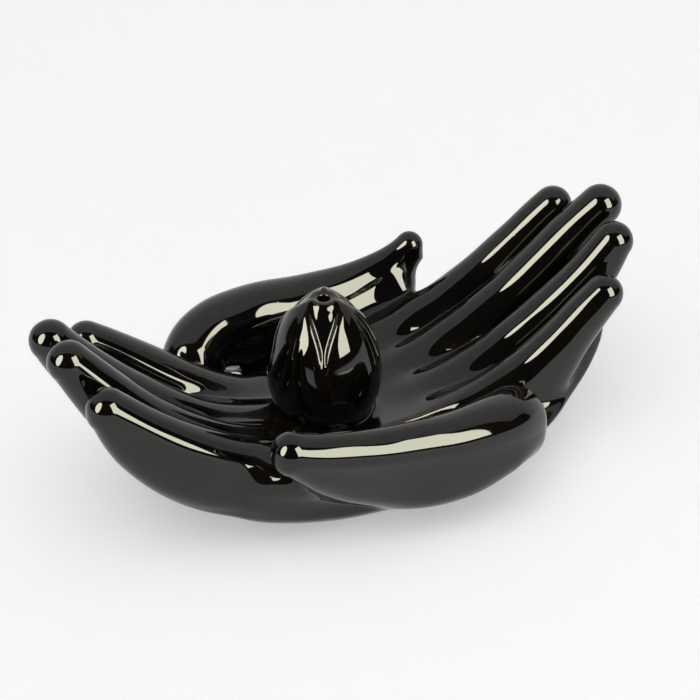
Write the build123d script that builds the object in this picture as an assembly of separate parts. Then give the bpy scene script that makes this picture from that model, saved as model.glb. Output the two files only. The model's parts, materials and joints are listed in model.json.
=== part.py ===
from build123d import *
"""Incense burner: two cupped ceramic hands that form a bowl, with a lotus bud stick holder in the palm.

Each hand is built up the way a potter builds it: half of the bowl is its palm, and its thumb and four fingers are
rolled, tapered coils that are bent upward and luted into sockets in the palm. The second hand is the first one's
partner, turned half a turn about the vertical axis. Millimetres, +Z up, origin at the centre of the foot's underside.
"""
import os
from typing import NamedTuple

# Outside of the bowl: an ellipsoid that stands on a flat foot at z = 0, turned a little about the vertical axis.
HULL_CENTRE_Z = 33.0
HULL_RADII = (66.8, 45.9, 37.0)
HULL_TURN = -1.2

# Inside of the bowl: a shallower ellipsoid, which leaves the thick floor that carries the bud.
BOWL_CENTRE_Z = 33.5
BOWL_RADII = (60.0, 38.0, 17.0)

# The rim is low between the two thumbs and climbs toward the fingers: z = RIM_Z + RIM_RISE * x * x.
# Outside the fingers, under the thumbs, the rim stays at SIDE_RIM_Z.
RIM_Z = 23.5
RIM_RISE = 0.0027
SIDE_RIM_Z = 17.0
INDEX_SIDE_Y = 22.0
LITTLE_SIDE_Y = -16.0

# Hollowed underside, inside the foot ring, which keeps the thick floor from cracking in the kiln.
UNDERSIDE_RADII = (24.0, 15.5, 8.0)

# The plane between the two palms stands upright and runs through the two creases where a little finger
# meets the other hand's thumb.
SEAM_ANGLE = -39.3

# Lotus bud. Its inner petals lie PETAL_DEPTH under the outer ones, which part along GAP_EDGE: half the gap's
# width at each height.
BUD_X = -6.3
BUD_FOOT_Z = 15.2
BUD_PROFILE = [(10.4, 15.2), (12.0, 18.2), (13.3, 22.0), (13.9, 27.0), (13.2, 33.0), (11.7, 38.2), (9.2, 43.2),
               (6.4, 46.8), (4.2, 48.6)]
BUD_LIP_Z = 47.5
STICK_HOLE_DIAMETER = 3.0
STICK_HOLE_DEPTH = 20.0
OUTER_PETALS = 3
PETAL_DEPTH = 1.2
GAP_TURN = -114.7
GAP_EDGE = [(0.25, 31.5), (0.8, 38.0), (3.2, 45.0), (5.5, 50.0)]


class Station(NamedTuple):
    """A point on a digit's centre line, the digit's radius there, and how much deeper than round its back is."""
    x: float
    y: float
    z: float
    radius: float
    depth: float


# Digits of the hand whose fingers point along +X, from the root in the palm to the tip.
RIGHT_DIGITS = {
    "index_finger": [Station(17, 21, 13.8, 6.3, 2), Station(34, 21.8, 21.4, 6.2, 5), Station(48, 21.6, 29.2, 5.9, 6),
                     Station(59, 20.6, 38.8, 5.4, 4), Station(67.0, 19.0, 46.7, 5.1, 0.2)],
    "middle_finger": [Station(17, 9.5, 11.2, 6.4, 1), Station(36, 10.8, 19.5, 6.4, 3), Station(52, 10.2, 30.3, 6.2, 3),
                      Station(63, 8.6, 41.3, 5.8, 2), Station(73.2, 6.0, 51.9, 5.4, 0.2)],
    "ring_finger": [Station(18, -2, 11.0, 5.5, 0.2), Station(37, -2, 18.5, 6.3, 3), Station(52, -3.5, 29.0, 6.1, 3),
                    Station(62, -5, 38.8, 5.5, 2), Station(70.0, -6.4, 48.6, 5.0, 0.2)],
    "little_finger": [Station(22, -14, 12.4, 6.3, 2), Station(36, -15, 19.0, 6.2, 4), Station(46, -16, 26.3, 5.9, 5),
                      Station(54, -16.6, 34.0, 5.3, 3), Station(61.5, -17, 41.4, 4.8, 0.2)],
    "thumb": [Station(-29, 30.5, 19.6, 8.0, 2.2), Station(-20, 35.2, 23.2, 7.9, 4.2),
              Station(-4, 37.3, 23.6, 7.4, 7.2), Station(14, 37.4, 25.0, 5.7, 9.2),
              Station(26, 36.6, 28.9, 4.3, 9.2), Station(34.0, 35.6, 34.2, 3.6, 6.2)],
}

# The other hand's, in the same frame before its half turn. Hand work: its digits differ a little, and its thumb
# is blunter and lower.
LEFT_DIGITS = {
    "index_finger": [Station(17, 21, 13.8, 6.3, 2), Station(34, 21.8, 21.8, 6.2, 5), Station(48, 21.8, 29.8, 5.9, 6),
                     Station(59, 20.8, 38.0, 5.3, 4), Station(67.4, 19.0, 45.2, 4.9, 0.2)],
    "middle_finger": [Station(17, 9.5, 11.2, 6.4, 1), Station(36, 10.8, 19.5, 6.4, 3), Station(52, 10.2, 30.3, 6.1, 3),
                      Station(63, 8.6, 41.3, 5.5, 2), Station(71.8, 6.6, 51.4, 5.0, 0.2)],
    "ring_finger": [Station(18, -2, 11.0, 5.5, 0.2), Station(37, -2, 18.5, 6.3, 3), Station(52, -3.5, 29.0, 6.1, 3),
                    Station(63, -5, 39.2, 5.6, 2), Station(72.0, -6.6, 49.6, 5.1, 0.2)],
    "little_finger": [Station(22, -14, 12.4, 6.3, 2), Station(36, -15, 21.2, 6.2, 4), Station(46, -16.2, 29.0, 5.9, 5),
                      Station(54, -16.8, 35.8, 5.3, 3), Station(60.6, -17, 40.5, 4.8, 0.2)],
    "thumb": [Station(-29, 31.0, 21.6, 8.4, 1.4), Station(-20, 35.6, 25.0, 7.2, 3.8),
              Station(-4, 37.6, 26.9, 5.9, 6.2), Station(12, 37.4, 29.0, 5.2, 5.6),
              Station(23, 36.9, 31.2, 5.0, 3.8), Station(30.5, 36.3, 33.4, 4.9, 1.4)],
}


def ellipsoid(centre_z: float, radii: tuple) -> Solid:
    """A closed ellipsoid about the vertical axis."""
    return Pos(0, 0, centre_z) * scale(Sphere(1), by=radii)


def digit(stations: list, round_root: bool) -> Part:
    """A tapered, bent coil with a round tip, lofted through oval sections square to its centre line."""
    line = Spline(*[(s.x, s.y, s.z) for s in stations])
    sections, caps = [], []
    for station in stations:
        centre = Vector(station.x, station.y, station.z)
        along = line.tangent_at(centre)
        across = Vector(0, 1, 0) - along * along.Y
        tall = station.radius + station.depth / 2
        place = Plane(origin=centre, x_dir=across, z_dir=along) * Pos(0, -station.depth / 2, 0)
        sections.append(place * Ellipse(station.radius, tall).face())
        caps.append(place * scale(Sphere(1), by=(station.radius, tall, station.radius)))
    coil = loft(sections) + caps[-1]
    return coil + caps[0] if round_root else coil


def rim_cutter() -> Part:
    """Everything above the rim, which climbs toward the fingers and stays low and level outside them."""
    reach = 90
    points = [(x, RIM_Z + RIM_RISE * x * x) for x in range(-reach, reach + 1, 30)]
    edge = Spline(*points)
    outline = edge + Polyline(points[-1], (reach, 120), (-reach, 120), points[0])
    cutter = extrude(make_face(Plane.XZ * outline), amount=100, both=True)
    low_corner = (Align.MIN, Align.MIN, Align.MIN)
    beyond_index = Pos(0, INDEX_SIDE_Y, SIDE_RIM_Z) * Box(reach, reach, reach, align=low_corner)
    beyond_little = Pos(0, LITTLE_SIDE_Y - reach, SIDE_RIM_Z) * Box(reach, reach, reach, align=low_corner)
    for outside in (beyond_index, beyond_little):
        cutter = cutter + outside + Rot(0, 0, 180) * outside
    return cutter


def bowl() -> Solid:
    """Both palms in one: the bowl before it is cut at the seam."""
    shell = Rot(0, 0, HULL_TURN) * ellipsoid(HULL_CENTRE_Z, HULL_RADII) - ellipsoid(BOWL_CENTRE_Z, BOWL_RADII)
    shell -= Pos(0, 0, -50) * Box(300, 300, 100)
    shell -= rim_cutter()
    return shell - scale(Sphere(1), by=UNDERSIDE_RADII)


def lotus_bud() -> Solid:
    """The closed bud: outer petals over a core of inner ones, and the blind stick hole."""
    def turned(inset: float) -> Part:
        outline = [(radius - inset, z) for radius, z in BUD_PROFILE]
        rest = Polyline(outline[-1], (0, BUD_LIP_Z), (0, BUD_FOOT_Z), outline[0])
        return revolve(make_face(Plane.XZ * (Spline(*outline) + rest)), Axis.Z)

    core, inner = turned(0), turned(PETAL_DEPTH)
    edge = [(half, z) for half, z in GAP_EDGE] + [(-half, z) for half, z in reversed(GAP_EDGE)]
    gap = extrude(make_face(Plane.XZ * Polyline(*edge, edge[0])), amount=20)
    for number in range(OUTER_PETALS):
        core -= Rot(0, 0, GAP_TURN + 90 + 360 / OUTER_PETALS * number) * gap - inner
    hole = Pos(0, 0, BUD_LIP_Z - STICK_HOLE_DEPTH) * Cylinder(
        STICK_HOLE_DIAMETER / 2, STICK_HOLE_DEPTH + 5, align=(Align.CENTER, Align.CENTER, Align.MIN))
    return Pos(BUD_X, 0, 0) * (core - hole)


def main() -> None:
    """Builds every piece, trims each where it is luted to its neighbours, and writes one file a piece."""
    half_turn = Rot(0, 0, 180)
    right = {name: digit(stations, name == "thumb") for name, stations in RIGHT_DIGITS.items()}
    left = {name: half_turn * digit(stations, name == "thumb") for name, stations in LEFT_DIGITS.items()}
    bud = lotus_bud()
    palms = bowl() - bud
    for piece in (*right.values(), *left.values()):
        palms -= piece
    half = Pos(0, 100, 0) * Box(300, 200, 300)
    pieces = {
        "right_palm": palms & (Rot(0, 0, SEAM_ANGLE) * half),
        "left_palm": palms & (Rot(0, 0, SEAM_ANGLE + 180) * half),
        "lotus_bud_holder": bud,
    }
    laid = [bud]
    for hand, digits in (("right", right), ("left", left)):
        for name, piece in digits.items():
            for earlier in laid:
                piece = piece - earlier
            laid.append(piece)
            pieces[f"{hand}_{name}"] = piece
    os.makedirs("parts", exist_ok=True)
    for name, piece in pieces.items():
        solids = piece.solids().sort_by(SortBy.VOLUME)
        print(name, len(solids), [round(s.volume, 2) for s in solids], solids[-1].is_valid)
        export_step(solids[-1], f"parts/{name}.step")


main()
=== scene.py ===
"""Looks of the incense burner: two cupped hands in black glaze, and the lotus bud that holds the stick.

The hands are sculpted as one distance field. Each digit is a tapered coil with a deep back, the palms are
an ellipsoidal bowl, and soft unions stand for the clay that is worked into the joins. A surface net turns
the field into a mesh, every point is then drawn onto the exact surface, and one upright plane parts the
two hands.
Lengths in the field are millimetres; meshes are metres.
"""
import json
import logging
import math
from dataclasses import dataclass, replace
from enum import Enum
from typing import Callable

import bmesh
import bpy
import numpy as np
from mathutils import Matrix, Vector


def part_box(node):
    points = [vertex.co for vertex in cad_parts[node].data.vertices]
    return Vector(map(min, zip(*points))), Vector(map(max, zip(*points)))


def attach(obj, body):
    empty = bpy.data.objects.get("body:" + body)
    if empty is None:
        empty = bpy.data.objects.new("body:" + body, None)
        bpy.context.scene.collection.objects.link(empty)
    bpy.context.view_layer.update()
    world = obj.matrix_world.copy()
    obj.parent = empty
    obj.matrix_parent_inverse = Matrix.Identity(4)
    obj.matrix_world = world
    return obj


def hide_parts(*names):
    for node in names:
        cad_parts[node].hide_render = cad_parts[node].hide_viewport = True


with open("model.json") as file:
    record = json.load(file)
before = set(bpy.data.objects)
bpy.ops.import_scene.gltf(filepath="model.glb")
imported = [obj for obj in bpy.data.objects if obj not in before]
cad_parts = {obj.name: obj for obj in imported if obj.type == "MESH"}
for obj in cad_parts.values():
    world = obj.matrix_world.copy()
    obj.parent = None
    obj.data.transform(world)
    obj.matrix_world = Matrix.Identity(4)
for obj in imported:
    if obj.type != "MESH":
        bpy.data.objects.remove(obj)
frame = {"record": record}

LOG = logging.getLogger("incense_burner")
MM = 0.001
FAR = 1e3
TINY = 1e-9
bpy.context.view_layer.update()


# ---- soft unions

def smooth(share: np.ndarray) -> np.ndarray:
    """Eases a share between 0 and 1 at both ends."""
    return share * share * (3 - 2 * share)


def soft_min(a: np.ndarray, b: np.ndarray, reach: "float | np.ndarray") -> np.ndarray:
    """Joins two fields with a fillet.

    Args:
        a: First distance.
        b: Second distance.
        reach: How near the two surfaces must be for the fillet to start.

    Returns:
        The distance to the joined body.
    """
    near = np.maximum(reach - np.abs(a - b), 0.0) / reach
    return np.minimum(a, b) - near ** 3 * reach / 6.0


def soft_max(a: np.ndarray, b: np.ndarray, reach: float) -> np.ndarray:
    """Intersects two fields with a rounded edge of the given reach."""
    return -soft_min(-a, -b, reach)


def ellipsoid(points: np.ndarray, centre: tuple, radii: tuple) -> np.ndarray:
    """Distance to an ellipsoid, exact near its surface.

    Args:
        points: Rows of x, y, z.
        centre: Centre of the ellipsoid.
        radii: Its three radii.

    Returns:
        One signed distance a row.
    """
    local = points - np.array(centre)
    scaled = np.linalg.norm(local / np.array(radii), axis=1)
    slope = np.linalg.norm(local / np.array(radii) ** 2, axis=1)
    return scaled * (scaled - 1.0) / np.maximum(slope, TINY)


# ---- the clay

def curve_at(terms: np.ndarray, t: np.ndarray) -> np.ndarray:
    """Evaluates a polynomial curve.

    Args:
        terms: Its coefficients as rows of x, y, z, highest power first.
        t: Parameters.

    Returns:
        One point a row.
    """
    value = np.zeros((len(t), 3))
    for row in terms:
        value = value * t[:, None] + row
    return value


def half_turned(rows: tuple) -> tuple:
    """Points or vectors after half a turn about the vertical axis."""
    return tuple((-x, -y, z) for x, y, z in rows)


@dataclass(frozen=True)
class Coil:
    """A digit: a round-ended coil along a bent centre line, with a back that reaches down into the bowl.

    Attributes:
        line: Points of the centre line, from the root to the tip.
        back: How far the section's back reaches from the centre line: at the root, two handles, and the tip.
        root_radius: Radius at the root.
        tip_radius: Radius at the tip.
        belly: How much fuller the section is at the end of its back.
        taper: How the radius falls from the root to the tip, as two powers.
        blend: How much softer than a plain crease its join with the other digits is.
        margin: Room that is searched around the coil.
        belly_depth: Squared reach of the back at which the belly is fullest.
        guesses: Points of the line that are tried first.
        rounds: Steps that refine the nearest point.
    """
    line: tuple
    back: tuple
    root_radius: float
    tip_radius: float
    belly: float = 0.4
    taper: tuple = (3.0, 2.0)
    blend: float = 0.0
    margin: float = 7.0
    belly_depth: float = 30.0
    guesses: int = 17
    rounds: int = 4

    def spread(self) -> np.ndarray:
        """Parameter of each point of the line, by its distance along the chords."""
        steps = np.linalg.norm(np.diff(np.array(self.line, float), axis=0), axis=1)
        return np.concatenate([[0.0], np.cumsum(steps)]) / steps.sum()

    def power_terms(self) -> np.ndarray:
        """Coefficients of the one polynomial curve through every point of the line, highest power first."""
        return np.polyfit(self.spread(), np.array(self.line, float), len(self.line) - 1)

    def box(self) -> tuple:
        """Lowest and highest corner of the space that the coil can reach."""
        at = np.linspace(0, 1, 33)[:, None]
        terms = self.power_terms()
        centre = sum(terms[n] * at ** (len(terms) - 1 - n) for n in range(len(terms)))
        both = np.concatenate([centre, centre + self.back_at(at[:, 0])])
        pad = max(self.root_radius, self.tip_radius) + self.belly + self.margin
        return both.min(axis=0) - pad, both.max(axis=0) + pad

    def back_at(self, t: np.ndarray) -> np.ndarray:
        """Reach of the section's back.

        Args:
            t: Parameters.

        Returns:
            One vector a row.
        """
        root, low, high, tip = (np.array(v, float) for v in self.back)
        t = t[:, None]
        s = 1 - t
        return root * s ** 3 + low * 3 * t * s ** 2 + high * 3 * t ** 2 * s + tip * t ** 3

    def radius_at(self, t: np.ndarray) -> np.ndarray:
        """Radius at each parameter: full along the digit, and drawn in smoothly toward the tip."""
        fall = (1 - t ** self.taper[0]) ** self.taper[1]
        return self.tip_radius + (self.root_radius - self.tip_radius) * fall

    def distance(self, points: np.ndarray) -> np.ndarray:
        """Distance from each point to the coil.

        Args:
            points: Rows of x, y, z.

        Returns:
            One signed distance a row.
        """
        terms = self.power_terms()
        degree = len(terms) - 1
        first = np.array([terms[n] * (degree - n) for n in range(degree)])
        second = np.array([first[n] * (degree - 1 - n) for n in range(degree - 1)])
        samples = np.linspace(0, 1, self.guesses)
        where = curve_at(terms, samples)
        t = samples[np.argmin(((points[:, None, :] - where[None]) ** 2).sum(axis=2), axis=1)]
        for _ in range(self.rounds):
            gap = curve_at(terms, t) - points
            along = curve_at(first, t)
            bend = (along ** 2).sum(axis=1) + (gap * curve_at(second, t)).sum(axis=1)
            t = np.clip(t - (gap * along).sum(axis=1) / np.maximum(bend, 1e-3), 0, 1)
        offset = points - curve_at(terms, t)
        back = self.back_at(t)
        reach = (back ** 2).sum(axis=1)
        share = np.clip((offset * back).sum(axis=1) / (reach + 1e-6), 0, 1)
        fuller = self.belly * smooth(share) * np.clip(reach / self.belly_depth, 0, 1)
        return np.linalg.norm(offset - back * share[:, None], axis=1) - self.radius_at(t) - fuller


def turned(coil: Coil) -> Coil:
    """The same coil after half a turn about the vertical axis."""
    return replace(coil, line=half_turned(coil.line), back=half_turned(coil.back))


@dataclass(frozen=True)
class Bowl:
    """Both palms: an ellipsoid with a bowl sunk in it, standing on a hollowed foot.

    Attributes:
        outer_centre: Centre of the outside.
        outer_radii: Its radii.
        outer_turn: Its turn about the vertical, in degrees.
        inner_centre: Centre of the hollow.
        inner_radii: Its radii.
        underside_radii: Radii of the hollow in the foot.
        rim_z: Height of the rim in the middle.
        rim_rise: How the rim climbs with the square of the distance from the middle.
        side_rim_z: Height of the rim beside the fingers.
        index_side: Where it drops beside the index finger.
        little_side: Where it drops beside the little finger.
        little_rim_rise: How much less it drops there, far from the middle.
        little_rim_from: Where that starts.
        little_rim_over: Length over which it comes in.
        rim_drop: How gradually the rim drops.
        lip_round: Rounding between hollow and outside.
        rim_round: Rounding of the rim.
        foot_round: Rounding of the foot.
    """
    outer_centre: tuple = (0.3, 0.0, 33.0)
    outer_radii: tuple = (66.8, 45.9, 37.0)
    outer_turn: float = -1.2
    inner_centre: tuple = (0.0, 0.0, 33.5)
    inner_radii: tuple = (60.0, 38.0, 17.0)
    underside_radii: tuple = (24.0, 15.5, 8.0)
    rim_z: float = 23.5
    rim_rise: float = 0.0027
    side_rim_z: float = 8.5
    index_side: float = 24.0
    little_side: float = -17.0
    little_rim_rise: float = 7.0
    little_rim_from: float = 15.0
    little_rim_over: float = 20.0
    rim_drop: float = 1.5
    lip_round: float = 3.0
    rim_round: float = 4.0
    foot_round: float = 1.2

    def rim_height(self, points: np.ndarray) -> np.ndarray:
        """Height of the palms' rim: it climbs under the fingers and stays low beside them.

        Args:
            points: Rows of x, y, z.

        Returns:
            One height a row.
        """
        side = np.sign(points[:, 0]) * points[:, 1]
        beyond = np.maximum(side - self.index_side, self.little_side - side)
        under_fingers = 1.0 / (1.0 + np.exp(np.clip(beyond / self.rim_drop, -30, 30)))
        under = self.rim_z + self.rim_rise * points[:, 0] ** 2
        outward = np.clip((np.abs(points[:, 0]) - self.little_rim_from) / self.little_rim_over, 0, 1)
        beside = self.side_rim_z + self.little_rim_rise * smooth(outward) * (side < 0)
        return beside + (under - beside) * under_fingers

    def distance(self, points: np.ndarray) -> np.ndarray:
        """Distance to the palms, without the digits.

        Args:
            points: Rows of x, y, z.

        Returns:
            One signed distance a row.
        """
        cos, sin = math.cos(math.radians(self.outer_turn)), math.sin(math.radians(self.outer_turn))
        eased = points @ np.array([[cos, -sin, 0], [sin, cos, 0], [0, 0, 1]])
        shell = ellipsoid(eased, self.outer_centre, self.outer_radii)
        shell = soft_max(shell, -ellipsoid(points, self.inner_centre, self.inner_radii), self.lip_round)
        return soft_max(shell, points[:, 2] - self.rim_height(points), self.rim_round)

    def foot(self, body: np.ndarray, points: np.ndarray) -> np.ndarray:
        """Cuts the flat foot and the hollow inside it out of a body."""
        body = soft_max(body, -points[:, 2], self.foot_round)
        return soft_max(body, -ellipsoid(points, (0, 0, 0), self.underside_radii), self.foot_round)


class Digit(Enum):
    """The digits of a hand, named as their CAD pieces are."""
    THUMB = "thumb"
    INDEX = "index_finger"
    MIDDLE = "middle_finger"
    RING = "ring_finger"
    LITTLE = "little_finger"


class Hand(Enum):
    """The two hands, and the side of the seam that each is on."""
    RIGHT = 1
    LEFT = -1

    def nodes(self) -> list:
        """Names of this hand's CAD pieces."""
        prefix = self.name.lower()
        return [f"{prefix}_palm"] + [f"{prefix}_{digit.value}" for digit in Digit]


@dataclass(frozen=True)
class HandClay:
    """The digits of one hand and the web beside its thumb, for the hand whose fingers point along +X."""
    index_finger: Coil
    middle_finger: Coil
    ring_finger: Coil
    little_finger: Coil
    thumb: Coil
    web: Coil

    def coils(self) -> list:
        """Every digit, and the web."""
        fingers = [self.index_finger, self.middle_finger, self.ring_finger, self.little_finger]
        return fingers + [self.thumb, self.web]


RIGHT_CLAY = HandClay(
    index_finger=Coil(
        ((17, 21, 13.8), (34, 21.8, 21.4), (48, 21.6, 29.2), (59, 20.6, 38.8), (67.0, 19.0, 46.7)),
        ((0, 0, -3), (1, 1, -8), (3, -2, -15), (0, 0, 0)), 6.3, 5.1),
    middle_finger=Coil(
        ((17, 9.5, 11.2), (36, 10.8, 19.5), (52, 10.2, 30.3), (63, 8.6, 41.3), (73.2, 6.0, 51.9)),
        ((0, 0, -3), (3, 1, -5), (3, 1, -6), (0, 0, 0)), 6.4, 5.45),
    ring_finger=Coil(
        ((18, -2, 11.0), (37, -2, 18.5), (52, -3.5, 29.0), (62, -5, 38.8), (70.0, -6.4, 48.6)),
        ((0, 0, -3), (3, -1, -5), (3, -1, -6), (0, 0, 0)), 6.4, 5.0),
    little_finger=Coil(
        ((22, -14, 12.4), (36, -15, 19.0), (46, -16, 26.3), (54, -16.6, 34.0), (61.5, -17, 41.4)),
        ((2, -1, -7), (4, -3, -10), (-3, 1, -7), (0, 0, 0)), 6.3, 4.8),
    thumb=Coil(
        ((-29, 30.5, 19.6), (-20, 35.2, 23.2), (-4, 37.3, 23.6), (14, 37.4, 25.0), (26, 36.6, 28.9),
         (34.0, 35.6, 34.2)),
        ((0, 0, -2), (0, 0, -5), (-2, 0, -16), (-0.4, 0, -9.5)), 8.0, 3.6, 0.8),
    web=Coil(((8, 32, 14), (20, 32, 17), (29.5, 33.2, 23.5)), ((0, -1, -4),) * 4, 5.2, 4.4, blend=6.0))

LEFT_CLAY = HandClay(
    index_finger=Coil(
        ((17, 21, 13.8), (34, 21.8, 21.8), (48, 21.8, 29.8), (59, 20.8, 38.0), (67.4, 19.0, 45.2)),
        ((0, 0, -3), (1, 1, -6), (4.5, -2, -13), (0, 0, -1)), 6.3, 4.9),
    middle_finger=Coil(
        ((17, 9.5, 11.2), (36, 10.8, 19.5), (52, 10.2, 30.3), (63, 8.6, 41.3), (71.8, 6.6, 51.4)),
        ((0, 0, -3), (4, 1, -6), (3, 1, -6), (0, 0, 0)), 6.4, 5.0),
    ring_finger=Coil(
        ((18, -2, 11.0), (37, -2, 18.5), (52, -3.5, 29.0), (63, -5, 39.2), (72.0, -6.6, 49.6)),
        ((0, 0, -3), (3, -1, -5), (2, -1, -5), (0, 0, 0)), 6.4, 5.1),
    little_finger=Coil(
        ((22, -14, 12.4), (36, -15, 21.2), (46, -16.2, 29.0), (54, -16.8, 35.8), (60.6, -17, 40.5)),
        ((0, 0, -3), (2, -1, -8), (-1, 2, -10), (0, 0, 0)), 6.3, 4.8),
    thumb=Coil(
        ((-29.0, 31.0, 21.6), (-20, 35.6, 25.0), (-4, 37.6, 26.9), (12, 37.4, 29.0), (23, 36.9, 31.2),
         (30.5, 36.3, 33.4)),
        ((0, 0, -2), (0, -1, -17), (0, -5, -13), (0, 0, -1)), 8.5, 4.9, 0.6, (1.0, 2.4)),
    web=Coil(((6, 27.5, 16), (18, 28.2, 17), (33, 26.5, 20)), ((0, -1.5, -4),) * 4, 5.2, 4.6, blend=3.0))


@dataclass(frozen=True)
class Sculpture:
    """The two hands together as one field.

    Attributes:
        bowl: The palms.
        right: Digits of the right hand.
        left: Digits of the left hand, before its half turn.
        crease: Fillet between two digits.
        crease_fill: How much wider it is near the middle.
        root_fillet: Fillet between the digits and the palms.
        root_fill: How much wider it is near the middle.
        left_groove_end: Where the left hand's creases start to fill.
        right_groove_end: The same for the right hand.
        groove_fade: Length over which they fill.
        bud_x: Where the bud's axis is.
        stub_radius: Radius of the stub that the bud stands on.
        stub_z: Height of the stub.
        stub_round: Rounding of the stub's edge.
        stub_fillet: Fillet at the stub's foot.
        wobble: Height of the unevenness.
        wobble_length: Length of its waves.
        waves: How many waves it is made of.
        seed: Seed of the waves.
    """
    bowl: Bowl = Bowl()
    right: HandClay = RIGHT_CLAY
    left: HandClay = LEFT_CLAY
    crease: float = 1.3
    crease_fill: float = 5.0
    root_fillet: float = 5.0
    root_fill: float = 3.5
    left_groove_end: float = 45.0
    right_groove_end: float = 25.0
    groove_fade: float = 13.0
    bud_x: float = -6.3
    stub_radius: float = 12.6
    stub_z: float = 17.0
    stub_round: float = 1.4
    stub_fillet: float = 2.4
    wobble: float = 0.12
    wobble_length: float = 17.0
    waves: int = 6
    seed: int = 7

    def coils(self) -> list:
        """Every digit of both hands, in place."""
        return self.right.coils() + [turned(coil) for coil in self.left.coils()]

    def hand_work(self, points: np.ndarray) -> np.ndarray:
        """Slow unevenness of a surface finished by hand.

        Args:
            points: Rows of x, y, z.

        Returns:
            One height a row.
        """
        rng = np.random.default_rng(self.seed)
        total = np.zeros(len(points))
        for _ in range(self.waves):
            wave = rng.normal(size=3)
            wave *= 2 * np.pi / (np.linalg.norm(wave) * self.wobble_length * rng.uniform(0.7, 1.5))
            total += np.sin(points @ wave + rng.uniform(0, 2 * np.pi))
        return total * self.wobble / 3.0

    def distance(self, points: np.ndarray) -> np.ndarray:
        """Distance to the hands.

        Args:
            points: Rows of x, y, z.

        Returns:
            One signed distance a row.
        """
        edge = np.where(points[:, 0] < 0, self.left_groove_end, self.right_groove_end)
        inward = smooth(np.clip((edge - np.abs(points[:, 0])) / self.groove_fade, 0, 1))
        crease = self.crease + self.crease_fill * inward
        digits = np.full(len(points), FAR)
        for coil in self.coils():
            low, high = coil.box()
            inside = ((points > low) & (points < high)).all(axis=1)
            if inside.any():
                reach = crease[inside] + coil.blend
                digits[inside] = soft_min(digits[inside], coil.distance(points[inside]), reach)
        body = soft_min(self.bowl.distance(points), digits, self.root_fillet + self.root_fill * inward)
        stub = np.hypot(points[:, 0] - self.bud_x, points[:, 1]) - self.stub_radius
        body = soft_min(body, soft_max(stub, points[:, 2] - self.stub_z, self.stub_round), self.stub_fillet)
        return self.bowl.foot(body + self.hand_work(points), points)


# ---- from a field to a mesh

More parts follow.
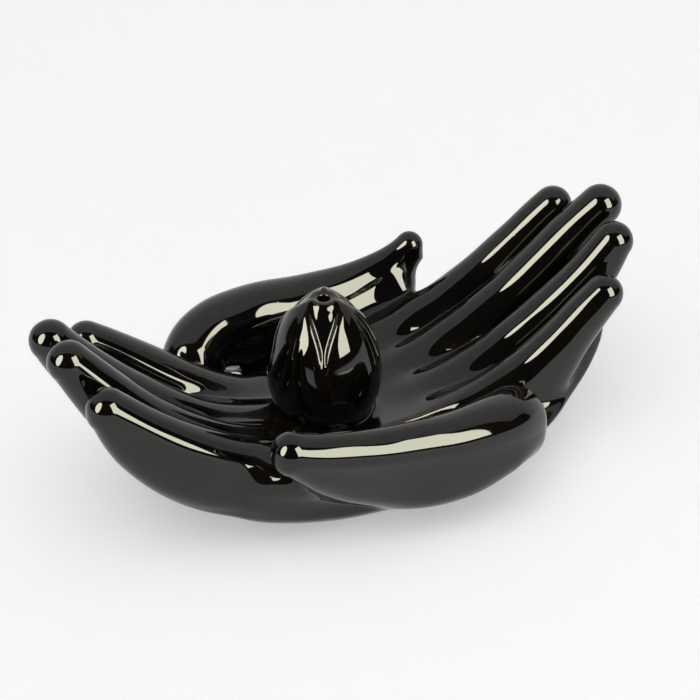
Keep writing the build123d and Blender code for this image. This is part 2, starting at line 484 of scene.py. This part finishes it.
@dataclass
class SurfaceNet:
    """Turns a distance field into a closed mesh of near-square faces.

    Attributes:
        distance: The field.
        low: Lowest corner of the space that holds the body.
        high: Highest corner.
        cell: Size of a face, about.
        chunk: Points that are worked out at once.
        near: Cells from the surface within which the field is worked out in full.
    """
    distance: Callable
    low: tuple
    high: tuple
    cell: float
    chunk: int = 200000
    near: float = 3.5

    def sample(self, points: np.ndarray) -> np.ndarray:
        """The field at each point, a slice at a time to save memory."""
        parts = [self.distance(points[n:n + self.chunk]) for n in range(0, len(points), self.chunk)]
        return np.concatenate(parts)

    def grid(self) -> np.ndarray:
        """Works out the field on the whole grid, in full only near the surface.

        Returns:
            The field at every grid point.
        """
        counts = [2 * (int((h - l) / self.cell / 2) + 2) for l, h in zip(self.low, self.high)]
        half = [n // 2 for n in counts]
        places = np.stack(np.meshgrid(*[np.arange(n) * 2.0 + 0.5 for n in half], indexing="ij"), axis=-1)
        rough = self.sample(self.place(places.reshape(-1, 3))).reshape(half)
        values = rough.repeat(2, axis=0).repeat(2, axis=1).repeat(2, axis=2)
        near = np.argwhere(np.abs(values) < self.near * self.cell)
        values[tuple(near.T)] = self.sample(self.place(near.astype(float)))
        return values

    def place(self, steps: np.ndarray) -> np.ndarray:
        """Grid steps as points of the field."""
        return np.array(self.low) + steps * self.cell

    def slope(self, points: np.ndarray, step: float = 0.04) -> np.ndarray:
        """The field's gradient at each point."""
        shifts = np.eye(3) * step
        rises = [self.sample(points + shift) - self.sample(points - shift) for shift in shifts]
        return np.stack(rises, axis=1) / (2 * step)

    def curvature(self, points: np.ndarray, step: float = 0.8) -> np.ndarray:
        """How sharply the surface bends outwards: high on lips and petal edges, below 0 in creases.

        Args:
            points: Rows of x, y, z on the surface.
            step: How far around each point the bend is felt.

        Returns:
            One number a row.
        """
        total = -6.0 * self.sample(points)
        for shift in np.eye(3) * step:
            total += self.sample(points + shift) + self.sample(points - shift)
        return total / step ** 2

    def points_and_faces(self) -> tuple:
        """Builds the net.

        Returns:
            Points, and rows of four point numbers that turn outwards.
        """
        values = self.grid()
        inside = values < 0
        shape = np.array(values.shape) - 1
        corners = np.array([(i, j, k) for i in (0, 1) for j in (0, 1) for k in (0, 1)])
        filled = np.zeros(shape, dtype=np.int8)
        for i, j, k in corners:
            filled += inside[i:i + shape[0], j:j + shape[1], k:k + shape[2]]
        cells = np.argwhere((filled > 0) & (filled < 8))
        number = np.full(shape, -1)
        number[tuple(cells.T)] = np.arange(len(cells))
        total, count = np.zeros((len(cells), 3)), np.zeros(len(cells))
        for a in corners:
            for axis in range(3):
                if a[axis]:
                    continue
                b = a.copy()
                b[axis] = 1
                start, end = values[tuple((cells + a).T)], values[tuple((cells + b).T)]
                crossed = (start < 0) != (end < 0)
                share = np.where(crossed, start / np.where(crossed, start - end, 1.0), 0.0)
                total += np.where(crossed[:, None], a + share[:, None] * (b - a), 0.0)
                count += crossed
        points = self.place(cells + total / count[:, None])
        faces = []
        for axis in range(3):
            across, up = (axis + 1) % 3, (axis + 2) % 3
            here = np.moveaxis(inside, (axis, across, up), (0, 1, 2))[:, 1:-1, 1:-1]
            crossing = np.argwhere(here[:-1] != here[1:])
            leaving = here[:-1][tuple(crossing.T)]
            rings = []
            for step_across, step_up in ((0, 0), (1, 0), (1, 1), (0, 1)):
                spot = np.zeros_like(crossing)
                spot[:, axis] = crossing[:, 0]
                spot[:, across] = crossing[:, 1] + step_across
                spot[:, up] = crossing[:, 2] + step_up
                rings.append(number[tuple(spot.T)])
            quads = np.stack(rings, axis=1)
            quads[~leaving] = quads[~leaving][:, ::-1]
            faces.append(quads)
        return self.drawn_in(points), np.concatenate(faces)

    def drawn_in(self, points: np.ndarray, rounds: int = 2) -> np.ndarray:
        """Moves points along the gradient onto the exact surface.

        Args:
            points: Rows of x, y, z near it.
            rounds: How often each point is moved.

        Returns:
            The moved points.
        """
        for _ in range(rounds):
            slope = self.slope(points)
            steepness = np.maximum((slope ** 2).sum(axis=1), 0.05)
            step = slope * (self.sample(points) / steepness)[:, None]
            points = points - np.clip(step, -self.cell, self.cell)
        return points


def linked(name: str, data: bpy.types.ID) -> bpy.types.Object:
    """A new object at the origin, in the scene."""
    made = bpy.data.objects.new(name, data)
    bpy.context.scene.collection.objects.link(made)
    return made


def mesh_object(name: str, points: np.ndarray, faces: np.ndarray) -> bpy.types.Object:
    """Makes an object at the origin from points in metres.

    Args:
        name: Name of the piece.
        points: Rows of x, y, z.
        faces: Rows of point numbers.

    Returns:
        The linked object.
    """
    mesh = bpy.data.meshes.new(name)
    mesh.from_pydata(points.tolist(), [], faces.tolist())
    mesh.update()
    return linked(name, mesh)


def parted(whole: bpy.types.Object, name: str, normal: Vector) -> bpy.types.Object:
    """Cuts off what lies behind an upright plane through the origin, and closes the cut.

    Args:
        whole: The piece to cut, which stays.
        name: Name of the new piece.
        normal: Points toward the side that is kept.

    Returns:
        The kept side as a new object.
    """
    shape = bmesh.new()
    shape.from_mesh(whole.data)
    everything = shape.verts[:] + shape.edges[:] + shape.faces[:]
    cut = bmesh.ops.bisect_plane(shape, geom=everything, dist=1e-7, plane_co=(0, 0, 0), plane_no=normal,
                                 clear_inner=True)
    edges = [e for e in cut["geom_cut"] if isinstance(e, bmesh.types.BMEdge)]
    bmesh.ops.triangle_fill(shape, edges=edges, use_beauty=True, normal=-normal)
    mesh = bpy.data.meshes.new(name)
    shape.to_mesh(mesh)
    shape.free()
    return linked(name, mesh)


def shade_from_field(piece: bpy.types.Object, net: SurfaceNet, seam: Vector | None = None) -> None:
    """Gives every corner the field's own normal, so that the glaze mirrors without facets.

    The point attribute "edge" says how sharply the surface bends outwards.

    Args:
        piece: The mesh, in metres.
        net: The field that it was made from.
        seam: Outward normal of a flat cut, whose faces keep it.
    """
    mesh = piece.data
    points = np.empty(len(mesh.vertices) * 3)
    mesh.vertices.foreach_get("co", points)
    points = points.reshape(-1, 3) / MM
    slope = net.slope(points)
    slope /= np.maximum(np.linalg.norm(slope, axis=1), TINY)[:, None]
    corner = np.empty(len(mesh.loops), dtype=np.int32)
    mesh.loops.foreach_get("vertex_index", corner)
    normals = slope[corner]
    if seam is not None:
        flat = np.empty(len(mesh.polygons) * 3)
        mesh.polygons.foreach_get("normal", flat)
        sizes = np.empty(len(mesh.polygons), dtype=np.int32)
        mesh.polygons.foreach_get("loop_total", sizes)
        on_cut = (flat.reshape(-1, 3) @ np.array(seam)) > 0.9999
        normals[np.repeat(on_cut, sizes)] = np.array(seam)
    mesh.polygons.foreach_set("use_smooth", np.ones(len(mesh.polygons), dtype=bool))
    mesh.normals_split_custom_set(normals.tolist())
    edge = mesh.attributes.new("edge", "FLOAT", "POINT")
    edge.data.foreach_set("value", np.clip(net.curvature(points), -1.0, 2.0).astype(np.float32))


# ---- the bud

@dataclass(frozen=True)
class BudClay:
    """The closed lotus bud: a turned core, outer petals wrapped over it, and the blind hole for the stick.

    Attributes:
        axis_x: Where the bud's axis is.
        hole_radius: Radius of the stick hole.
        facing: Turn of the first gap between outer petals, in radians.
        foot_z: Height of the foot.
        widest_z: Height at which the bud is widest.
        widest_radius: Radius there.
        top_z: Height at which the profile closes.
        lip_z: Height of the hole's mouth.
        hole_floor_z: Height of the hole's floor.
        petals: Number of outer petals.
        petal_lift: How far the outer petals stand proud.
        petal_start_z: Height at which the gaps between them open.
        petal_tip_z: Height of their tips.
        petal_fade: Height over which the gaps deepen.
        petal_point: Power that shapes the petals' points.
        petal_side: How steeply the petals' sides are measured.
        petal_round: Rounding of the petals' edges.
        petal_fillet: Fillet under the petals' edges.
        crater_rise: Height of the tip hollow's centre over the top.
        crater_radius: Radius of that hollow.
        collar: Width of the lip round the hole.
        lip_drop: Depth of the lip's middle under the mouth.
        lip_round: Radius of the lip's section.
        collar_foot_z: Height at which the collar ends inside the bud.
    """
    axis_x: float
    hole_radius: float
    facing: float
    foot_z: float = 15.2
    widest_z: float = 27.0
    widest_radius: float = 13.9
    top_z: float = 50.6
    lip_z: float = 47.6
    hole_floor_z: float = 27.5
    petals: int = 3
    petal_lift: float = 1.3
    petal_start_z: float = 31.0
    petal_tip_z: float = 49.4
    petal_fade: float = 9.0
    petal_point: float = 3.5
    petal_side: float = 0.9
    petal_round: float = 2.6
    petal_fillet: float = 0.9
    crater_rise: float = 2.2
    crater_radius: float = 5.4
    collar: float = 1.3
    lip_drop: float = 0.9
    lip_round: float = 1.25
    collar_foot_z: float = 30.0

    def profile(self, z: np.ndarray) -> np.ndarray:
        """Radius of the bud.

        Args:
            z: Heights.

        Returns:
            One radius a height.
        """
        upper = np.clip((z - self.widest_z) / (self.top_z - self.widest_z), 0, 1)
        lower = np.clip((self.widest_z - z) / (self.widest_z - self.foot_z), 0, 1.6)
        return self.widest_radius * np.where(z > self.widest_z, np.maximum(1 - upper ** 1.85, 0.0) ** 0.6,
                                             1 - 0.25 * lower ** 2)

    def distance(self, points: np.ndarray) -> np.ndarray:
        """Distance to the bud.

        Args:
            points: Rows of x, y, z.

        Returns:
            One signed distance a row.
        """
        x, y, z = points[:, 0] - self.axis_x, points[:, 1], points[:, 2]
        radius = np.hypot(x, y)
        tilt = 0.62 + 0.38 * np.clip((self.top_z - z) / 14.0, 0, 1)
        skin = (radius - self.profile(z)) * tilt
        fade = np.clip((z - self.petal_start_z) / self.petal_fade, 0, 1)
        body = skin + self.petal_lift * smooth(fade)
        angle = np.arctan2(y, x)
        rise = np.clip((z - self.petal_start_z) / (self.petal_tip_z - self.petal_start_z), 0, 1.2)
        spread = np.pi / self.petals * (1 - rise ** self.petal_point)
        for number in range(self.petals):
            middle = self.facing + (number + 0.5) * 2 * np.pi / self.petals
            turn = np.abs((angle - middle + np.pi) % (2 * np.pi) - np.pi)
            side = (turn - spread) * radius * self.petal_side
            body = soft_min(body, soft_max(skin, side, self.petal_round), self.petal_fillet)
        crater = np.hypot(radius, z - self.top_z - self.crater_rise) - self.crater_radius
        body = soft_max(body, -crater, 1.0)
        outside = radius - self.hole_radius - self.collar
        lip = np.hypot(outside, z - self.lip_z + self.lip_drop) - self.lip_round
        throat = soft_max(outside, z - self.lip_z, 0.5)
        body = soft_min(body, np.maximum(throat, self.collar_foot_z - z), 1.5)
        body = soft_min(body, lip, 0.8)
        hole = np.maximum(radius - self.hole_radius, self.hole_floor_z - z)
        body = soft_max(body, -hole, 0.5)
        return np.maximum(body, self.foot_z - z)


# ---- finishes

class Sock:
    """A shader value that takes arithmetic, so that a material reads as a formula."""

    def __init__(self, tree: bpy.types.NodeTree, socket: bpy.types.NodeSocket) -> None:
        """Wraps one output socket of a node tree."""
        self.tree = tree
        self.socket = socket

    def _math(self, operation: str, first: "Sock | float", second: "Sock | float") -> "Sock":
        """Joins two values with a Math node.

        Args:
            operation: The node's operation.
            first: First value.
            second: Second value.

        Returns:
            The node's output.
        """
        node = self.tree.nodes.new("ShaderNodeMath")
        node.operation = operation
        for slot, value in zip(node.inputs, (first, second)):
            if isinstance(value, Sock):
                self.tree.links.new(value.socket, slot)
            else:
                slot.default_value = value
        return Sock(self.tree, node.outputs[0])

    def __add__(self, other: "Sock | float") -> "Sock":
        """Sum."""
        return self._math("ADD", self, other)

    def __sub__(self, other: "Sock | float") -> "Sock":
        """Difference."""
        return self._math("SUBTRACT", self, other)

    def __rsub__(self, other: "Sock | float") -> "Sock":
        """Difference from a number."""
        return self._math("SUBTRACT", other, self)

    def __mul__(self, other: "Sock | float") -> "Sock":
        """Product."""
        return self._math("MULTIPLY", self, other)

    __radd__ = __add__
    __rmul__ = __mul__

    def most(self, other: "Sock | float") -> "Sock":
        """The larger of two values."""
        return self._math("MAXIMUM", self, other)

    def ramp(self, low: float, high: float) -> "Sock":
        """Rises smoothly from 0 to 1 between two values, or falls where the first is the larger.

        Args:
            low: Value at which the ramp is 0.
            high: Value at which it is 1.

        Returns:
            The ramp.
        """
        node = self.tree.nodes.new("ShaderNodeMapRange")
        node.interpolation_type = "SMOOTHSTEP"
        self.tree.links.new(self.socket, node.inputs["Value"])
        node.inputs["From Min"].default_value = min(low, high)
        node.inputs["From Max"].default_value = max(low, high)
        node.inputs["To Min"].default_value = 0.0 if low < high else 1.0
        node.inputs["To Max"].default_value = 1.0 if low < high else 0.0
        return Sock(self.tree, node.outputs["Result"])


class Graph:
    """A node tree under construction."""

    def __init__(self, tree: bpy.types.NodeTree) -> None:
        """Wraps a tree."""
        self.tree = tree

    def node(self, kind: str, out: int | str = 0, settings: dict | None = None, **inputs: object) -> Sock:
        """Adds any node.

        Args:
            kind: The node's type.
            out: Output to use.
            settings: Properties of the node, which are set first.
            inputs: Values or Socks by input name, with _ for a space, or by socket identifier.

        Returns:
            The output, wrapped.
        """
        node = self.tree.nodes.new(kind)
        for key, value in (settings or {}).items():
            setattr(node, key, value)
        for key, value in inputs.items():
            names = (key, key.replace("_", " "))
            socket = next(s for s in node.inputs if s.identifier in names or s.name in names)
            if isinstance(value, Sock):
                self.tree.links.new(value.socket, socket)
            else:
                socket.default_value = value
        return Sock(self.tree, node.outputs[out])


class Shader(Graph):
    """A material under construction."""

    def __init__(self, name: str) -> None:
        """Starts a material with a Principled shader."""
        self.material = bpy.data.materials.new(name)
        self.material.use_nodes = True
        super().__init__(self.material.node_tree)
        self.tree.nodes.clear()
        output = self.tree.nodes.new("ShaderNodeOutputMaterial")
        self.skin = self.tree.nodes.new("ShaderNodeBsdfPrincipled")
        self.tree.links.new(self.skin.outputs[0], output.inputs["Surface"])

    def mixed(self, share: Sock, first: "Sock | tuple", second: "Sock | tuple") -> Sock:
        """Blends two colours, from the first where the share is 0 to the second where it is 1."""
        names = {"Factor_Float": share, "A_Color": first, "B_Color": second}
        return self.node("ShaderNodeMix", 2, {"data_type": "RGBA"}, **names)

    def feed(self, name: str, value: "Sock | float | tuple") -> None:
        """Sets one input of the Principled shader.

        Args:
            name: The input's name.
            value: A constant, or a Sock to link.
        """
        socket = self.skin.inputs[name]
        if isinstance(value, Sock):
            self.tree.links.new(value.socket, socket)
        else:
            socket.default_value = value


@dataclass(frozen=True)
class BlackGlaze:
    """Gloss black glaze: brown where it runs thin over edges, faintly specked, and wiped off the foot.

    Attributes:
        name: Name of the material.
        deep: Colour where the glaze is thick.
        warm: Colour of the slow, uneven patches.
        thin: Colour where it breaks over an edge.
        speck: Colour of the fine iron specks.
        clay: Colour of the bare body.
        edges: Outward bend at which the glaze starts to run thin, and at which it is thinnest.
        roughness: Least roughness.
        smudge: How much rougher the dullest patches are.
        ripple: Height of the glaze's slow waves in metres.
        ripple_length: Length of those waves in metres.
        patch_scale: Patches a metre, about.
        mottle_scale: Scale of the fine mottle that roughens every border.
        speck_scale: Specks a metre, about.
        bare_height: Height over the table in metres up to which the foot is wiped clean.
    """
    name: str
    deep: tuple = (0.0025, 0.0021, 0.0016, 1.0)
    warm: tuple = (0.0060, 0.0042, 0.0028, 1.0)
    thin: tuple = (0.050, 0.026, 0.014, 1.0)
    speck: tuple = (0.030, 0.020, 0.012, 1.0)
    clay: tuple = (0.42, 0.33, 0.25, 1.0)
    edges: tuple = (0.42, 1.25)
    roughness: float = 0.032
    smudge: float = 0.022
    ripple: float = 0.00006
    ripple_length: float = 0.011
    patch_scale: float = 60.0
    mottle_scale: float = 420.0
    speck_scale: float = 330.0
    bare_height: float = 0.0004

    def material(self) -> bpy.types.Material:
        """Builds the material.

        Returns:
            The material.
        """
        shader = Shader(self.name)
        place = shader.node("ShaderNodeTexCoord", "Object")
        patches = shader.node("ShaderNodeTexNoise", "Fac", Vector=place, Scale=self.patch_scale, Detail=3.0)
        mottle = shader.node("ShaderNodeTexNoise", "Fac", Vector=place, Scale=self.mottle_scale, Detail=2.0)
        specks = shader.node("ShaderNodeTexVoronoi", "Distance", Vector=place, Scale=self.speck_scale)
        edge = shader.node("ShaderNodeAttribute", "Fac", {"attribute_name": "edge"})
        breaks = (edge + (mottle - 0.5) * 0.5).ramp(*self.edges)
        dots = specks.ramp(0.16, 0.10) * patches.ramp(0.45, 0.60)
        colour = shader.mixed(patches.ramp(0.35, 0.75), self.deep, self.warm)
        colour = shader.mixed(dots * 0.6, colour, self.speck)
        colour = shader.mixed(breaks, colour, self.thin)
        height = shader.node("ShaderNodeSeparateXYZ", "Z", Vector=place)
        bare = (height + (mottle - 0.5) * 0.0002).ramp(self.bare_height * 1.3, self.bare_height * 0.7)
        shader.feed("Base Color", shader.mixed(bare, colour, self.clay))
        glossy = self.roughness + patches.ramp(0.40, 0.80) * self.smudge + dots * 0.05
        shader.feed("Roughness", glossy + bare * 0.75)
        shader.feed("IOR", 1.5)
        waves = 1.0 / self.ripple_length
        wave = shader.node("ShaderNodeTexNoise", "Fac", Vector=place, Scale=waves, Detail=1.0)
        slow = shader.node("ShaderNodeBump", 0, Strength=1.0, Distance=self.ripple, Height=wave)
        fine = shader.node("ShaderNodeBump", 0, Strength=0.25, Distance=0.00002, Height=dots, Normal=slow)
        shader.feed("Normal", fine)
        return shader.material


class LampFace(Enum):
    """Shape of a lamp's face."""
    SQUARE_CORNERED = "RECTANGLE"
    ROUND = "ELLIPSE"


@dataclass(frozen=True)
class Softbox:
    """An area lamp that faces the object and shows in the glaze.

    Attributes:
        name: Name of the lamp.
        azimuth: Where it stands, in degrees about the vertical, with 0 on the side of -Y.
        elevation: Degrees over the floor.
        size: Width and height in metres.
        radiance: Brightness of its face.
        face: Shape of its face.
        colour: Colour of its light.
        distance: Metres from the object.
    """
    name: str
    azimuth: float
    elevation: float
    size: tuple
    radiance: float
    face: LampFace
    colour: tuple = (1.0, 1.0, 0.8)
    distance: float = 1.0

    def build(self) -> None:
        """Adds the lamp."""
        lamp = bpy.data.lights.new(self.name, "AREA")
        lamp.shape = self.face.value
        lamp.size, lamp.size_y = self.size
        lamp.energy = self.radiance * math.pi * self.size[0] * self.size[1]
        lamp.color = self.colour
        body = linked(self.name, lamp)
        a, e = math.radians(self.azimuth), math.radians(self.elevation)
        toward = Vector((math.sin(a) * math.cos(e), -math.cos(a) * math.cos(e), math.sin(e)))
        body.location = toward * self.distance + Vector((0, 0, 0.03))
        body.rotation_euler = toward.to_track_quat("Z", "Y").to_euler()
        body.visible_camera = False
        body.visible_diffuse = False


@dataclass(frozen=True)
class Studio:
    """Pale floor and backdrop, softboxes, overhead light, and camera.

    Attributes:
        floor_colour: Colour of the paper.
        paper_glow: How much the paper is lifted to white where it is seen.
        fill_power: Watts of the overhead light.
        world_colour: Colour of the dim room.
        world_strength: Brightness of the room.
        turn: Degrees that the backdrop is turned about the vertical, to face the camera.
        softboxes: The lamps that show in the glaze.
        fill_size: Width of the overhead light.
        fill_place: Where it hangs.
        eye: Where the camera stands.
        target: What it looks at.
        lens_mm: Its focal length.
    """
    floor_colour: tuple = (0.8, 0.8, 0.8, 1.0)
    paper_glow: float = 0.42
    fill_power: float = 34.0
    world_colour: tuple = (1.0, 0.93, 0.8, 1.0)
    world_strength: float = 0.04
    turn: float = -24.7
    softboxes: tuple = (Softbox("box_right", 23.0, 30.0, (0.50, 0.85), 15.0, LampFace.SQUARE_CORNERED),
                        Softbox("box_left", -76.0, 30.0, (0.50, 0.95), 13.0, LampFace.ROUND))
    fill_size: float = 2.4
    fill_place: tuple = (-0.3, -0.5, 1.7)
    eye: tuple = (-0.1748, -0.3816, 0.3025)
    target: tuple = (0.0006, 0.0, 0.0312)
    lens_mm: float = 105.2

    def surface(self, name: str) -> bpy.types.Material:
        """Matt pale paper, lifted to white where it is seen directly or in a mirror.

        Args:
            name: Name of the material.

        Returns:
            The material.
        """
        shader = Shader(name)
        kinds = ("Camera", "Glossy", "Transmission")
        rays = [shader.node("ShaderNodeLightPath", f"Is {kind} Ray") for kind in kinds]
        seen = rays[0].most(rays[1]).most(rays[2])
        shader.feed("Base Color", self.floor_colour)
        shader.feed("Roughness", 0.9)
        shader.feed("Specular IOR Level", 0.1)
        shader.feed("Emission Color", (1.0, 1.0, 1.0, 1.0))
        shader.feed("Emission Strength", seen * self.paper_glow)
        return shader.material

    def sweep(self) -> None:
        """Floor with a backdrop that curves up behind the object."""
        width, front, rear, top, bend = 3.0, -1.6, 0.9, 1.15, 0.35
        turns = np.linspace(0, math.pi / 2, 17)
        side = [(front, 0.0)]
        side += [(rear - bend + bend * math.sin(a), bend - bend * math.cos(a)) for a in turns]
        side += [(rear - bend + bend * math.cos(a), top - bend + bend * math.sin(a)) for a in turns]
        side += [(-0.25, top)]
        points = np.array([(x, y, z) for x in (-width, width) for y, z in side])
        count = len(side)
        faces = np.array([(n, n + count, n + count + 1, n + 1) for n in range(count - 1)])
        paper = mesh_object("studio_sweep", points, faces)
        turn = math.radians(self.turn)
        for vertex in paper.data.vertices:
            x, y, z = vertex.co
            vertex.co = (x * math.cos(turn) - y * math.sin(turn), x * math.sin(turn) + y * math.cos(turn), z)
        for face in paper.data.polygons:
            face.use_smooth = True
        paper.data.materials.append(self.surface("studio_paper"))
        paper.visible_shadow = False

    def fill(self) -> None:
        """Adds the wide light overhead, which leaves no mirror image."""
        lamp = bpy.data.lights.new("fill", "AREA")
        lamp.shape = "SQUARE"
        lamp.size = self.fill_size
        lamp.energy = self.fill_power
        body = linked("fill", lamp)
        body.location = self.fill_place
        body.rotation_euler = Vector(body.location).to_track_quat("Z", "Y").to_euler()
        body.visible_glossy = False
        body.visible_camera = False

    def camera(self) -> None:
        """Sets the camera."""
        lens = bpy.data.cameras.new("camera")
        lens.lens = self.lens_mm
        lens.sensor_width = 36.0
        lens.clip_start = 0.01
        body = linked("camera", lens)
        body.location = self.eye
        body.rotation_euler = (body.location - Vector(self.target)).to_track_quat("Z", "Y").to_euler()
        bpy.context.scene.camera = body

    def world(self) -> None:
        """Sets the dim room."""
        world = bpy.data.worlds.new("room")
        world.use_nodes = True
        background = world.node_tree.nodes["Background"]
        background.inputs["Color"].default_value = self.world_colour
        background.inputs["Strength"].default_value = self.world_strength
        bpy.context.scene.world = world
        bpy.context.scene.view_settings.view_transform = "Standard"

    def build(self) -> None:
        """Builds the whole studio."""
        self.world()
        self.sweep()
        for softbox in self.softboxes:
            softbox.build()
        self.fill()
        self.camera()


# ---- sub-assemblies

@dataclass(frozen=True)
class CuppedHands:
    """The two hands, made as one sculpture and parted at the upright seam between the palms.

    Attributes:
        clay: The sculpted form.
        low: Lowest corner of the space that holds it, in millimetres.
        high: Highest corner.
        seam_angle: Degrees of the seam from the X axis.
        fine_cell: Size of a face in millimetres.
    """
    clay: Sculpture = Sculpture()
    low: tuple = (-81, -50, -3)
    high: tuple = (81, 50, 60)
    seam_angle: float = -39.3
    fine_cell: float = 0.7
    quick_cell: float = 1.1

    def build(self) -> None:
        """Builds both hands and dresses them."""
        cell = self.fine_cell
        net = SurfaceNet(self.clay.distance, self.low, self.high, cell)
        points, faces = net.points_and_faces()
        LOG.info("hands: %d points, %d faces", len(points), len(faces))
        whole = mesh_object("whole", points * MM, faces)
        glaze = BlackGlaze("hand_glaze").material()
        seam = math.radians(self.seam_angle)
        for hand in Hand:
            inward = Vector((-math.sin(seam), math.cos(seam), 0)) * hand.value
            piece = parted(whole, f"{hand.name.lower()}_hand", inward)
            shade_from_field(piece, net, -inward)
            self.dress(piece, hand, glaze)
        bpy.data.objects.remove(whole)

    def dress(self, piece: bpy.types.Object, hand: Hand, glaze: bpy.types.Material) -> None:
        """Glazes a hand and ties it to the frame.

        Args:
            piece: The hand's mesh.
            hand: Which hand it is.
            glaze: Its material.
        """
        piece.data.materials.append(glaze)
        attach(piece, "root")
        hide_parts(*hand.nodes())
        LOG.info("%s: %d faces", piece.name, len(piece.data.polygons))


@dataclass(frozen=True)
class FootBead:
    """The bead of glaze that gathers round the bud's foot, swept along a circle by Geometry Nodes.

    Attributes:
        centre_x: Metres from the origin to the bud's axis.
        ring_radius: Radius of the ring in metres.
        bead_radius: Radius of the bead in metres.
        height: Height of the bead's middle over the table, in metres.
        unevenness: How far the bead wanders, in metres.
    """
    centre_x: float
    ring_radius: float = 0.0119
    bead_radius: float = 0.0009
    height: float = 0.0168
    unevenness: float = 0.0004

    def tree(self, glaze: bpy.types.Material) -> bpy.types.NodeTree:
        """Builds the node tree: a circle swept with a round section and pushed about a little by noise.

        Args:
            glaze: The bead's material.

        Returns:
            The tree, with its sizes as named inputs.
        """
        tree = bpy.data.node_groups.new("foot_bead", "GeometryNodeTree")
        tree.interface.new_socket("Geometry", in_out="OUTPUT", socket_type="NodeSocketGeometry")
        for name in ("Ring Radius", "Bead Radius", "Unevenness"):
            tree.interface.new_socket(name, in_out="INPUT", socket_type="NodeSocketFloat")
        tree.interface.new_socket("Centre", in_out="INPUT", socket_type="NodeSocketVector")
        graph = Graph(tree)
        sizes = {socket.name: Sock(tree, socket) for socket in tree.nodes.new("NodeGroupInput").outputs}
        circle = "GeometryNodeCurvePrimitiveCircle"
        path = graph.node(circle, "Curve", Resolution=128, Radius=sizes["Ring Radius"])
        section = graph.node(circle, "Curve", Resolution=16, Radius=sizes["Bead Radius"])
        shape = graph.node("GeometryNodeCurveToMesh", Curve=path, Profile_Curve=section)
        noise = graph.node("ShaderNodeTexNoise", "Color", Scale=110.0, Detail=0.0)
        centred = graph.node("ShaderNodeVectorMath", 0, {"operation": "SUBTRACT"}, Vector=noise,
                             Vector_001=(0.5, 0.5, 0.5))
        push = graph.node("ShaderNodeVectorMath", 0, {"operation": "SCALE"}, Vector=centred,
                          Scale=sizes["Unevenness"])
        shape = graph.node("GeometryNodeSetPosition", Geometry=shape, Offset=push)
        shape = graph.node("GeometryNodeTransform", Geometry=shape, Translation=sizes["Centre"])
        shape = graph.node("GeometryNodeSetShadeSmooth", Geometry=shape)
        shape = graph.node("GeometryNodeRealizeInstances", Geometry=shape)
        shape = graph.node("GeometryNodeSetMaterial", Geometry=shape, Material=glaze)
        tree.links.new(shape.socket, tree.nodes.new("NodeGroupOutput").inputs["Geometry"])
        return tree

    def build(self, glaze: bpy.types.Material) -> None:
        """Builds the bead as a plain mesh and ties it to the frame.

        Args:
            glaze: The bead's material.
        """
        tree = self.tree(glaze)
        carrier = linked("carrier", bpy.data.meshes.new("carrier"))
        modifier = carrier.modifiers.new("foot_bead", "NODES")
        modifier.node_group = tree
        sizes = {"Ring Radius": self.ring_radius, "Bead Radius": self.bead_radius,
                 "Unevenness": self.unevenness, "Centre": (self.centre_x, 0.0, self.height)}
        for item in tree.interface.items_tree:
            if item.in_out == "INPUT":
                modifier[item.identifier] = sizes[item.name]
        evaluated = carrier.evaluated_get(bpy.context.evaluated_depsgraph_get())
        mesh = bpy.data.meshes.new_from_object(evaluated)
        bpy.data.objects.remove(carrier)
        piece = linked("bud_foot_bead", mesh)
        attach(piece, "root")
        LOG.info("%s: %d faces", piece.name, len(mesh.polygons))


@dataclass(frozen=True)
class LotusBud:
    """The lotus bud that holds the stick, and the bead of glaze at its foot.

    Attributes:
        facing: Degrees of the gap between petals that is nearest the viewer.
        low_z: Lowest height of the space that holds the bud, in millimetres.
        high_z: Highest height of it.
        reach: Half of that space's width.
        cell: Size of a face in millimetres.
    """
    facing: float = -114.7
    low_z: float = 13.0
    high_z: float = 52.0
    reach: float = 16.0
    cell: float = 0.4

    def build(self) -> None:
        """Builds the bud where the frame has it, and dresses it."""
        low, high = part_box("lotus_bud_holder")
        axis_x = (low[0] + high[0]) / 2
        hole = next(m for m in frame["record"]["mounts"] if m["name"] == "stick_hole")
        clay = BudClay(axis_x=axis_x / MM, hole_radius=hole["dims"]["r_mm"], facing=math.radians(self.facing))
        net = SurfaceNet(clay.distance, (clay.axis_x - self.reach, -self.reach, self.low_z),
                         (clay.axis_x + self.reach, self.reach, self.high_z), self.cell)
        points, faces = net.points_and_faces()
        piece = mesh_object("lotus_bud", points * MM, faces)
        shade_from_field(piece, net)
        glaze = BlackGlaze("bud_glaze").material()
        piece.data.materials.append(glaze)
        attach(piece, "root")
        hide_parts("lotus_bud_holder")
        LOG.info("%s: %d faces", piece.name, len(piece.data.polygons))
        FootBead(centre_x=axis_x).build(glaze)


def main() -> None:
    """Builds every piece in order."""
    logging.basicConfig(level=logging.INFO, format="%(message)s")
    CuppedHands().build()
    LotusBud().build()
    Studio().build()


if __name__ == "__main__":
    main()
